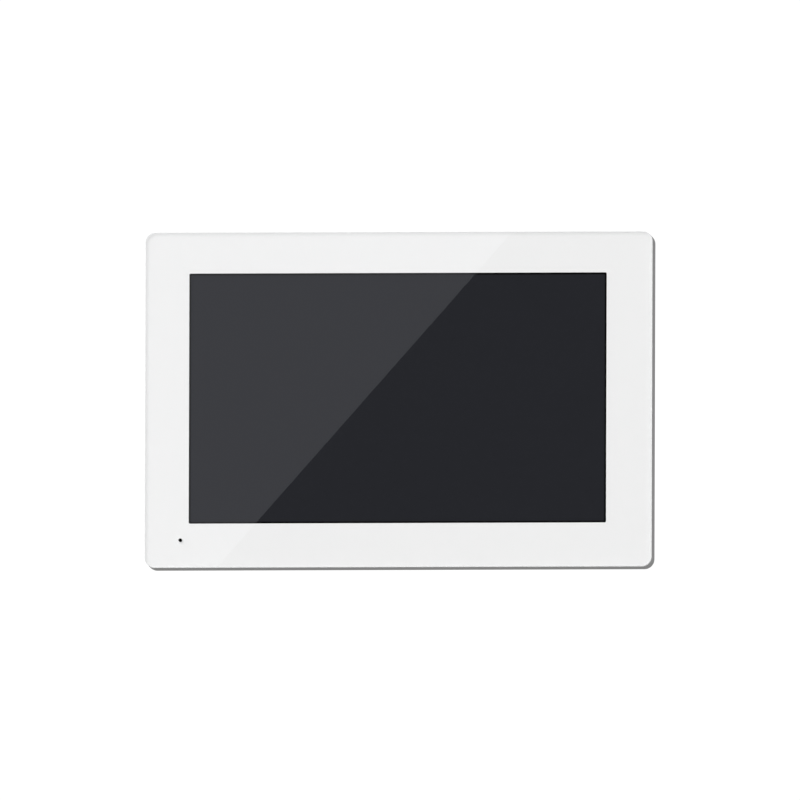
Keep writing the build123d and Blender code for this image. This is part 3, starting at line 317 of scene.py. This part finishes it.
MATERIALS = {
    "clear_glass": clear_glass(),
    "white_print": screen_print("white_print", (0.880, 0.878, 0.878), 0.6, 0.002),
    "black_print": screen_print("black_print", (0.0022, 0.0022, 0.0025), 0.5, 0.05),
    "touch_film": touch_film(),
    "display_dark": display_dark(),
    "white_abs": moulded("white_abs", (0.78, 0.78, 0.775)),
    "light_tray": moulded("light_tray", (0.88, 0.88, 0.86), rough=0.35),
    "light_guide": acrylic(),
    "zinc_steel": rolled_metal("zinc_steel", (0.60, 0.61, 0.63), 0.38, spangle=0.5),
    "screw_steel": rolled_metal("screw_steel", (0.55, 0.55, 0.57), 0.3, along=(1, 3, 1)),
    "black_steel": rolled_metal("black_steel", (0.05, 0.05, 0.052), 0.42, along=(1, 3, 1), tone=0.2),
    "tape_black": rubbery("tape_black", (0.02, 0.02, 0.02), 0.8),
    "foam_black": rubbery("foam_black", (0.03, 0.03, 0.03), 0.9, grain=0.6 * MM, depth=0.08 * MM),
    "rubber_grey": rubbery("rubber_grey", (0.26, 0.26, 0.27)),
    "rubber_black": rubbery("rubber_black", (0.03, 0.03, 0.03)),
    "board_green": solder_mask(),
    "chip_black": moulded("chip_black", (0.03, 0.03, 0.032), rough=0.55, grain=0.2 * MM, tone=0.2),
    "aluminium": rolled_metal("aluminium", (0.78, 0.79, 0.81), 0.3, along=(1, 1, 10)),
    "shield_can": rolled_metal("shield_can", (0.70, 0.69, 0.67), 0.28, along=(8, 1, 1)),
    "coil_grey": moulded("coil_grey", (0.13, 0.13, 0.14), rough=0.6, grain=0.15 * MM, tone=0.15),
    "passive_tan": moulded("passive_tan", (0.42, 0.31, 0.2), rough=0.45, grain=0.12 * MM, tone=0.08),
    "flex_amber": polyimide(),
    "socket_white": moulded("socket_white", (0.74, 0.71, 0.62), rough=0.38, grain=0.5 * MM, sub=0.08),
    "pin_gold": rolled_metal("pin_gold", (0.83, 0.66, 0.33), 0.25, along=(1, 8, 1)),
    "card_black": moulded("card_black", (0.02, 0.02, 0.022), rough=0.4, grain=0.2 * MM, tone=0.15),
    "button_grey": moulded("button_grey", (0.17, 0.17, 0.18), rough=0.45, tone=0.06),
    "switch_black": moulded("switch_black", (0.035, 0.035, 0.037), rough=0.45, tone=0.12),
    "cone_black": paper_cone(),
    "basket_black": moulded("basket_black", (0.03, 0.03, 0.03), rough=0.55, tone=0.12),
    "lead_grey": rubbery("lead_grey", (0.22, 0.22, 0.23), 0.5, depth=0.004 * MM),
    "label_silver": blank_label(),
}

for part in frame["record"]["subparts"]:
    surface = NODES[part["node"]]
    for material_slot in surface.material_slots:
        material_slot.material = MATERIALS[part["material_slot"]]


# ---------------------------------------------------------------- detail pieces
def solids_of(node):
    """(low, high) of each separate solid in a CAD node."""
    mesh = bmesh.new()
    mesh.from_mesh(NODES[node].data)
    bmesh.ops.remove_doubles(mesh, verts=mesh.verts, dist=1e-7)
    left, found = set(mesh.verts), []
    while left:
        stack, group = [left.pop()], []
        while stack:
            v = stack.pop()
            group.append(v.co.copy())
            for e in v.link_edges:
                other = e.other_vert(v)
                if other in left:
                    left.remove(other)
                    stack.append(other)
        low = Vector([min(c[i] for c in group) for i in range(3)])
        high = Vector([max(c[i] for c in group) for i in range(3)])
        found.append((low, high))
    mesh.free()
    return sorted(found, key=lambda pair: tuple(pair[0]))


class Piece:
    """One mesh piece, built from simple closed shapes."""

    def __init__(self, name, body, slot):
        self.name, self.body, self.slot = name, body, slot
        self.mesh = bmesh.new()

    def box(self, low, high):
        size = Vector(high) - Vector(low)
        matrix = Matrix.Translation((Vector(low) + Vector(high)) / 2) @ Matrix.Diagonal((*size, 1.0))
        bmesh.ops.create_cube(self.mesh, size=1.0, matrix=matrix)

    def disc(self, middle, radius, thickness, sides):
        """Flat disc facing the wall."""
        matrix = Matrix.Translation(middle) @ Matrix.Rotation(math.pi / 2, 4, "X")
        bmesh.ops.create_cone(self.mesh, cap_ends=True, segments=sides, radius1=radius,
                              radius2=radius, depth=thickness, matrix=matrix)

    def outline(self, low, high, y, width, thickness):
        """Rectangular line of the given width, lying at depth y."""
        x0, x1, z0, z1 = low[0], high[0], low[2], high[2]
        for a, b in (((x0, z0), (x1, z0 + width)), ((x0, z1 - width), (x1, z1)),
                     ((x0, z0 + width), (x0 + width, z1 - width)),
                     ((x1 - width, z0 + width), (x1, z1 - width))):
            self.box((a[0], y, a[1]), (b[0], y + thickness, b[1]))

    def leg(self, at, outward, shoulder, width=0.28 * MM, thick=0.12 * MM, reach=0.45 * MM):
        """Gull-wing chip leg: out of the body's side, down, and out along the board."""
        along = Vector((abs(outward.z), 0, abs(outward.x))) * width / 2
        for start, end, low, high in ((0.0, reach, shoulder, shoulder + thick),
                                      (reach - thick, reach, 0.0, shoulder),
                                      (reach, 2.1 * reach, 0.0, thick)):
            ends = [at + outward * start, at + outward * end]
            corners = [p + s * along + Vector((0, y, 0)) for p in ends for s in (-1, 1) for y in (low, high)]
            self.box([min(c[i] for c in corners) for i in range(3)],
                     [max(c[i] for c in corners) for i in range(3)])

    def finish(self):
        data = bpy.data.meshes.new(self.name)
        self.mesh.to_mesh(data)
        self.mesh.free()
        made = bpy.data.objects.new(self.name, data)
        bpy.context.scene.collection.objects.link(made)
        data.materials.append(MATERIALS[self.slot])
        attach(made, self.body)


BOARD_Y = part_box("main_board")[1].y
CHIPS = solids_of("small_chips") + solids_of("memory_chips")
PARTS_ON_BOARD = CHIPS + [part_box("processor"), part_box("wifi_module")]
PARTS_ON_BOARD += solids_of("power_inductors") + solids_of("capacitors")


def chip_legs():
    """Tinned legs round the packages."""
    piece = Piece("chip_legs", "monitor", "shield_can")
    pitch, end_margin, shoulder = 0.65 * MM, 0.4 * MM, 0.45 * MM
    for low, high in CHIPS:
        middle = (low + high) / 2
        sides = [(Vector((1, 0, 0)), high.x, "z"), (Vector((-1, 0, 0)), low.x, "z")]
        square = abs((high.x - low.x) - (high.z - low.z)) < 0.5 * MM
        if square:
            sides += [(Vector((0, 0, 1)), high.z, "x"), (Vector((0, 0, -1)), low.z, "x")]
        for outward, edge, run in sides:
            length = (high.z - low.z) if run == "z" else (high.x - low.x)
            count = int((length - 2 * end_margin) / pitch) + 1
            for i in range(count):
                offset = (i - (count - 1) / 2) * pitch
                if run == "z":
                    at = Vector((edge, BOARD_Y, middle.z + offset))
                else:
                    at = Vector((middle.x + offset, BOARD_Y, edge))
                piece.leg(at, outward, shoulder)
    piece.finish()


def passive_ends():
    """Tinned end caps of the chip capacitors and resistors."""
    piece = Piece("passive_ends", "monitor", "shield_can")
    proud, share = 0.02 * MM, 0.22
    for low, high in solids_of("small_passives"):
        size = high - low
        run = 0 if size.x > size.z else 2
        for end in (0, 1):
            a, b = low.copy(), high.copy()
            if end:
                a[run] = high[run] - share * size[run]
            else:
                b[run] = low[run] + share * size[run]
            for i in range(3):
                a[i] -= proud if i != 1 else 0.0
                b[i] += proud
            piece.box(a, b)
    piece.finish()


def board_legend():
    """White lines printed on the board round its larger parts, and each chip's first-pin dot."""
    piece = Piece("board_legend", "monitor", "white_print")
    margin, line, thick = 1.25 * MM, 0.15 * MM, 0.02 * MM
    dot_inset, dot_radius, dot_thick = 0.8 * MM, 0.3 * MM, 0.01 * MM
    for low, high in PARTS_ON_BOARD:
        grow = Vector((margin, 0, margin))
        piece.outline(low - grow, high + grow, BOARD_Y, line, thick)
    for low, high in CHIPS:
        dot = Vector((high.x - dot_inset, high.y + dot_thick / 2, high.z - dot_inset))
        piece.disc(dot, dot_radius, dot_thick, 16)
    piece.finish()


def capacitor_marks():
    """Dark polarity segment on the top of each electrolytic can."""
    piece = Piece("capacitor_marks", "monitor", "chip_black")
    radius, thick = 2.55 * MM, 0.015 * MM
    start, sweep, steps = 50, 80, 12  # start and sweep in degrees
    for low, high in solids_of("capacitors"):
        middle = (low + high) / 2
        angles = [math.radians(start + sweep * i / steps) for i in range(steps + 1)]
        arc = [(middle.x + radius * math.cos(a), middle.z + radius * math.sin(a)) for a in angles]
        rings = [[piece.mesh.verts.new((x, y, z)) for x, z in arc] for y in (high.y, high.y + thick)]
        piece.mesh.faces.new(rings[0])
        piece.mesh.faces.new(reversed(rings[1]))
        for i in range(len(angles)):
            j = (i + 1) % len(angles)
            piece.mesh.faces.new((rings[0][j], rings[0][i], rings[1][i], rings[1][j]))
    bmesh.ops.recalc_face_normals(piece.mesh, faces=piece.mesh.faces)
    piece.finish()


chip_legs()
passive_ends()
board_legend()
capacitor_marks()


# ---------------------------------------------------------------- studio
FACE_LOW, FACE_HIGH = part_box("cover_glass")
FACE = Vector(((FACE_LOW.x + FACE_HIGH.x) / 2, FACE_LOW.y, (FACE_LOW.z + FACE_HIGH.z) / 2))
FACE_W, FACE_H = FACE_HIGH.x - FACE_LOW.x, FACE_HIGH.z - FACE_LOW.z

VIEW_AZIMUTH, VIEW_ELEVATION = math.radians(4.5), math.radians(-4.5)
VIEW_ROLL = 0.5 * math.sin(VIEW_AZIMUTH) * math.sin(VIEW_ELEVATION)  # shares out the face's slant
VIEW_DISTANCE = 1.0
FRAME_SIZE = 294.2 * MM  # width of what the camera sees
AIM_SHIFT = (0.57 * MM, -0.22 * MM)  # the aim's place on the face, from its centre (x, z)

BACKDROP = 1.05  # strength of the white behind the object
WORLD_LIGHT = 0.345
DARK_LIGHT = 0.03  # the world's strength straight in front of the glass
DARK_ENDS, LIGHT_STARTS = -0.95, -0.80  # Y of the directions between which it brightens
KEY_LIGHT = 3.13
REAR_LIGHT = 1.2

SHEEN_LIGHT = 0.355
SHEEN_TOP, SHEEN_BOTTOM = 0.2245, -0.3575  # where its edge crosses the face's edges, in face widths
PANEL_DISTANCE, PANEL_HALF_LENGTH, PANEL_WIDTH = 0.7, 0.32, 0.30

FLOOR_HALF, FLOOR_Z = 14.0, -0.35


def towards_camera():
    """Direction from the object to the camera."""
    a, e = VIEW_AZIMUTH, VIEW_ELEVATION
    return Vector((math.sin(a) * math.cos(e), -math.cos(a) * math.cos(e), math.sin(e)))


def make_camera():
    """Parallel view of the face, from slightly right and below."""
    data = bpy.data.cameras.new("camera")
    data.type, data.ortho_scale = "ORTHO", FRAME_SIZE
    camera = bpy.data.objects.new("camera", data)
    bpy.context.scene.collection.objects.link(camera)
    back = towards_camera()
    right = Vector((math.cos(VIEW_AZIMUTH), math.sin(VIEW_AZIMUTH), 0.0))
    right.rotate(Quaternion(back, -VIEW_ROLL))
    up = back.cross(right)
    aim = FACE + Vector((AIM_SHIFT[0], 0, AIM_SHIFT[1]))
    turn = Matrix((right, up, back)).transposed().to_4x4()
    camera.matrix_world = Matrix.Translation(aim + back * VIEW_DISTANCE) @ turn
    data.clip_start, data.clip_end = 0.01, 60.0
    bpy.context.scene.camera = camera


def make_world():
    """White backdrop; as a light it is dimmer, and dark straight in front of the glass."""
    world = bpy.data.worlds.new("studio")
    bpy.context.scene.world = world
    world.use_nodes = True
    nt = world.node_tree
    nt.nodes.clear()
    out = nt.nodes.new("ShaderNodeOutputWorld")
    seen, light = nt.nodes.new("ShaderNodeBackground"), nt.nodes.new("ShaderNodeBackground")
    for background in (seen, light):
        background.inputs["Color"].default_value = (1, 1, 1, 1)
    seen.inputs["Strength"].default_value = BACKDROP
    direction = nt.nodes.new("ShaderNodeSeparateXYZ")
    nt.links.new(nt.nodes.new("ShaderNodeTexCoord").outputs["Generated"], direction.inputs[0])
    fade = nt.nodes.new("ShaderNodeMapRange")
    fade.interpolation_type = "SMOOTHSTEP"
    for key, value in (("From Min", DARK_ENDS), ("From Max", LIGHT_STARTS),
                       ("To Min", DARK_LIGHT), ("To Max", WORLD_LIGHT)):
        fade.inputs[key].default_value = value
    nt.links.new(direction.outputs["Y"], fade.inputs["Value"])
    nt.links.new(fade.outputs[0], light.inputs["Strength"])
    mix, path = nt.nodes.new("ShaderNodeMixShader"), nt.nodes.new("ShaderNodeLightPath")
    nt.links.new(path.outputs["Is Camera Ray"], mix.inputs[0])
    nt.links.new(light.outputs[0], mix.inputs[1])
    nt.links.new(seen.outputs[0], mix.inputs[2])
    nt.links.new(mix.outputs[0], out.inputs["Surface"])


def make_sun(name, energy, spread, source):
    """Broad soft light from the direction of source."""
    data = bpy.data.lights.new(name, "SUN")
    data.energy, data.angle = energy, math.radians(spread)
    light = bpy.data.objects.new(name, data)
    bpy.context.scene.collection.objects.link(light)
    light.rotation_mode = "QUATERNION"
    light.rotation_quaternion = Vector(source).to_track_quat("Z", "Y")


def emitter(name, color, strength):
    t = Tree(name)
    return t.done(t.node("ShaderNodeEmission", {"Color": color, "Strength": strength}).outputs[0])


def stage_plane(name, corners, material):
    data = bpy.data.meshes.new(name)
    data.from_pydata([tuple(c) for c in corners], [], [tuple(range(len(corners)))])
    data.materials.append(material)
    made = bpy.data.objects.new(name, data)
    bpy.context.scene.collection.objects.link(made)
    return made


def make_soft_box():
    """Long light panel in front, mirrored by the glass as a slanting sheen over its upper left."""
    back = towards_camera()
    mirrored = Vector((-back.x, back.y, -back.z))
    top = FACE + Vector((SHEEN_TOP * FACE_W, 0, FACE_H / 2))
    bottom = FACE + Vector((SHEEN_BOTTOM * FACE_W, 0, -FACE_H / 2))
    edge = (top - bottom).normalized()
    outward = Vector((-edge.z, 0, edge.x))
    middle = (top + bottom) / 2 + mirrored * (PANEL_DISTANCE / -mirrored.y)
    near = [middle - edge * PANEL_HALF_LENGTH, middle + edge * PANEL_HALF_LENGTH]
    corners = near + [corner + outward * PANEL_WIDTH for corner in reversed(near)]
    panel = stage_plane("soft_box", corners, emitter("soft_box", (0.93, 0.94, 1.0), SHEEN_LIGHT))
    panel.visible_camera = panel.visible_diffuse = panel.visible_shadow = False
    panel.visible_transmission = False


def make_floor():
    """Pale grey floor, which the object neither mirrors nor takes light from."""
    t = Tree("floor")
    cloud = t.noise(0.5, 3)
    material = t.done(t.principled(color=t.mix(cloud, (0.80, 0.80, 0.80), (0.83, 0.83, 0.83)),
                                   rough=0.8, shine=0.1))
    corners = [(x * FLOOR_HALF, y * FLOOR_HALF, FLOOR_Z) for x, y in ((-1, -1), (1, -1), (1, 1), (-1, 1))]
    floor = stage_plane("floor", corners, material)
    floor.visible_diffuse = floor.visible_glossy = False


bpy.context.scene.view_settings.view_transform = "Standard"
make_camera()
make_world()
make_sun("key", KEY_LIGHT, 38, (-0.39, -0.84, 0.37))
make_sun("rear_fill", REAR_LIGHT, 45, (-0.50, 0.72, 0.48))
make_soft_box()
make_floor()
